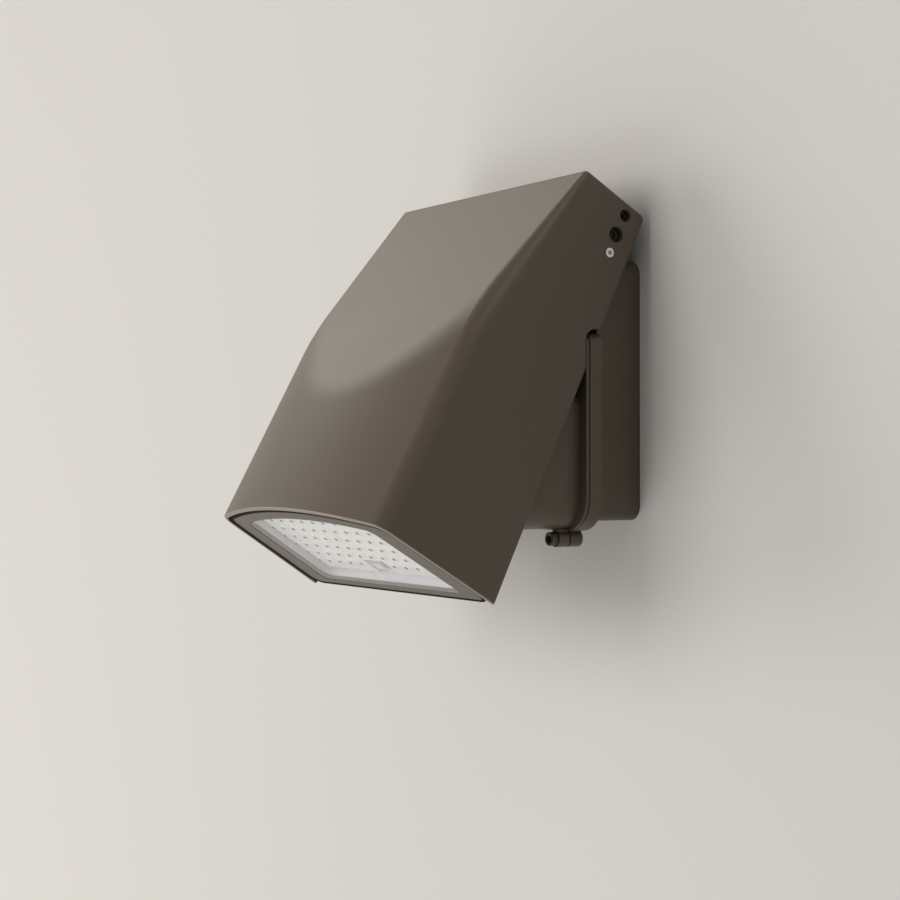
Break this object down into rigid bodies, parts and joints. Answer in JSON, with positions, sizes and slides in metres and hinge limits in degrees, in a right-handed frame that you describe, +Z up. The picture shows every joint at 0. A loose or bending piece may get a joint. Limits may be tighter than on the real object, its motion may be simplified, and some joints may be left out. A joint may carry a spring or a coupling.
{
  "type": "wall pack light",
  "caption": "Outdoor wall pack light: a box on the wall and a bronze hood with an LED array that tilts on side pivots.",
  "frame": {"origin": "middle of the four wall bolts, on the wall face of the back box", "axes": "+Z up the wall, +Y into the wall, the front looks along -Y, +X to the right seen from the front"},
  "size_m": [0.2396, 0.214, 0.2768],
  "materials": {
    "painted_casting": "satin dark bronze powder coat",
    "bare_aluminium": "as cast",
    "silicone": "matte",
    "driver_case": "satin white",
    "zinc_steel": "zinc plated",
    "green_screw": "satin green",
    "black_steel": "black oxide",
    "bronze_screw": "satin dark bronze",
    "ring_plastic": "matte",
    "block_plastic": "matte",
    "connector_plastic": "matte",
    "lead_jacket": "satin",
    "gland_plastic": "matte",
    "bushing_plastic": "matte",
    "sleeve_plastic": "matte",
    "pin_steel": "bare",
    "lens_acrylic": "clear, polished",
    "optic_acrylic": "clear moulded",
    "board_white": "white solder mask",
    "led_phosphor": "yellow phosphor"
  },
  "bodies": {
    "mount_box": {"back_box": "painted_casting", "wall_seal": "silicone", "cover_seal": "silicone", "driver_housing": "painted_casting", "led_driver": "driver_case", "driver_screws": "zinc_steel", "terminal_block": "block_plastic", "terminal_screws": "zinc_steel", "ground_screw": "green_screw", "lead_grommet": "silicone", "box_lead": "lead_jacket", "input_lead": "lead_jacket", "hinge_ear_left": "painted_casting", "hinge_ear_right": "painted_casting", "ear_screws": "zinc_steel", "pivot_bolt_left": "black_steel", "pivot_bolt_right": "black_steel"},
    "head": {"hood": "painted_casting", "heat_sink": "bare_aluminium", "sink_screws": "zinc_steel", "lens_frame": "painted_casting", "frame_screws": "zinc_steel", "lens_cover": "lens_acrylic", "lens_gasket": "silicone", "led_board_left": "board_white", "led_board_right": "board_white", "led_chips_left": "led_phosphor", "led_chips_right": "led_phosphor", "optic_array_left": "optic_acrylic", "optic_array_right": "optic_acrylic", "board_screws": "zinc_steel", "board_connector": "connector_plastic", "lead_gland": "gland_plastic", "head_lead": "lead_jacket", "lead_clips": "gland_plastic", "pivot_bushing_left": "bushing_plastic", "pivot_bushing_right": "bushing_plastic", "stop_pin_left": "pin_steel", "stop_pin_right": "pin_steel", "stop_sleeve_left": "sleeve_plastic", "stop_sleeve_right": "sleeve_plastic"},
    "captive_left": {"captive_screw_left": "bronze_screw", "captive_ring_left": "ring_plastic"},
    "lock_left": {"lock_screw_left": "black_steel"},
    "captive_right": {"captive_screw_right": "bronze_screw", "captive_ring_right": "ring_plastic"},
    "lock_right": {"lock_screw_right": "black_steel"}
  },
  "joints": [
    {"name": "head_tilt", "type": "hinge", "parent": "mount_box", "child": "head", "pos_m": [0, -0.0275, 0.10025], "axis": [-1, 0, 0], "range_deg": [0, 55]},
    {"name": "captive_screw_left", "type": "slide", "parent": "mount_box", "child": "captive_left", "axis": [0, -1, 0], "range_m": [0, 0.005]},
    {"name": "lock_screw_left", "type": "hinge", "parent": "head", "child": "lock_left", "pos_m": [-0.1125, -0.02007, 0.1131], "axis": [-1, 0, 0], "range_deg": [0, 360]},
    {"name": "captive_screw_right", "type": "slide", "parent": "mount_box", "child": "captive_right", "axis": [0, -1, 0], "range_m": [0, 0.005]},
    {"name": "lock_screw_right", "type": "hinge", "parent": "head", "child": "lock_right", "pos_m": [0.1125, -0.02007, 0.1131], "axis": [1, 0, 0], "range_deg": [0, 360]}
  ]
}
